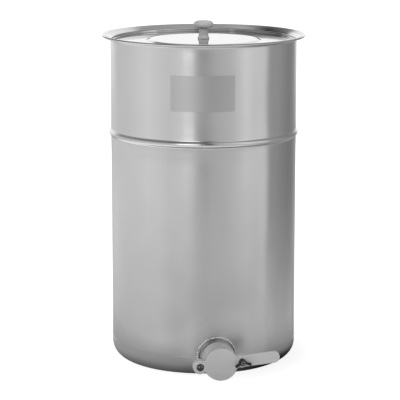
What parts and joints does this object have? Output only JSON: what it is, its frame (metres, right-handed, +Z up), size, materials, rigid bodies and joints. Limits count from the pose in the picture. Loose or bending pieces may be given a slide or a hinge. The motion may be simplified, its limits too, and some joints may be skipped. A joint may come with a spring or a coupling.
{
  "type": "honey settling tank",
  "caption": "Tall round stainless steel honey settling tank with a flared rim, a stiffening bead, a sunk lift-off lid with a knob, and a plastic swing-blade gate low on its wall.",
  "frame": {"origin": "middle of the drum's flat underside, on the floor", "axes": "+Z up along the drum's axis, -Y out along the gate's axis towards the user, +X to the user's right"},
  "size_m": [0.656, 0.7524, 1.1025],
  "materials": {
    "drum_steel": "bright rolled stainless sheet with soft upright reflections",
    "lid_steel": "mirror-polished stainless sheet",
    "socket_steel": "turned stainless steel",
    "bolt_steel": "bright stainless fasteners",
    "grey_plastic": "satin light grey moulded nylon",
    "knob_plastic": "matt light grey moulded plastic",
    "black_plastic": "satin black moulded nylon",
    "seal_rubber": "food-grade rubber",
    "insert_brass": "plain turned brass",
    "label_film": "satin grey film, bare"
  },
  "bodies": {
    "drum": {"drum_shell": "drum_steel", "drum_bottom": "drum_steel", "label_plate": "label_film", "outlet_socket": "socket_steel", "gate_gasket": "seal_rubber", "gate_body": "grey_plastic", "face_seal": "seal_rubber", "pivot_bolt": "bolt_steel", "pivot_washer": "bolt_steel", "pivot_nut": "bolt_steel", "clamp_bolt": "bolt_steel"},
    "blade": {"gate_blade": "grey_plastic"},
    "nut_washer": {"clamp_washer": "bolt_steel"},
    "wing_nut": {"wing_nut": "black_plastic", "wing_nut_insert": "bolt_steel"},
    "lid": {"lid_pan": "lid_steel", "lid_knob": "knob_plastic", "knob_insert": "insert_brass", "knob_screw": "bolt_steel", "knob_washer": "bolt_steel"}
  },
  "joints": [
    {"name": "lid_lift", "type": "slide", "parent": "drum", "child": "lid", "axis": [0, 0, 1], "range_m": [0, 0.3]},
    {"name": "gate_swing", "type": "hinge", "parent": "drum", "child": "blade", "pos_m": [-0.06619, -0.3956, 0.06363], "axis": [0, -1, 0], "range_deg": [0, 90]},
    {"name": "nut_travel", "type": "slide", "parent": "drum", "child": "nut_washer", "axis": [0, -1, 0], "range_m": [0, 0.0025]},
    {"name": "wing_nut_turn", "type": "hinge", "parent": "nut_washer", "child": "wing_nut", "pos_m": [0.06619, -0.411, 0.07637], "axis": [0, -1, 0], "range_deg": [0, 720]}
  ],
  "couplings": [
    {"joint": "wing_nut_turn", "follows": "nut_travel", "rad_per_m": 5026.5}
  ]
}
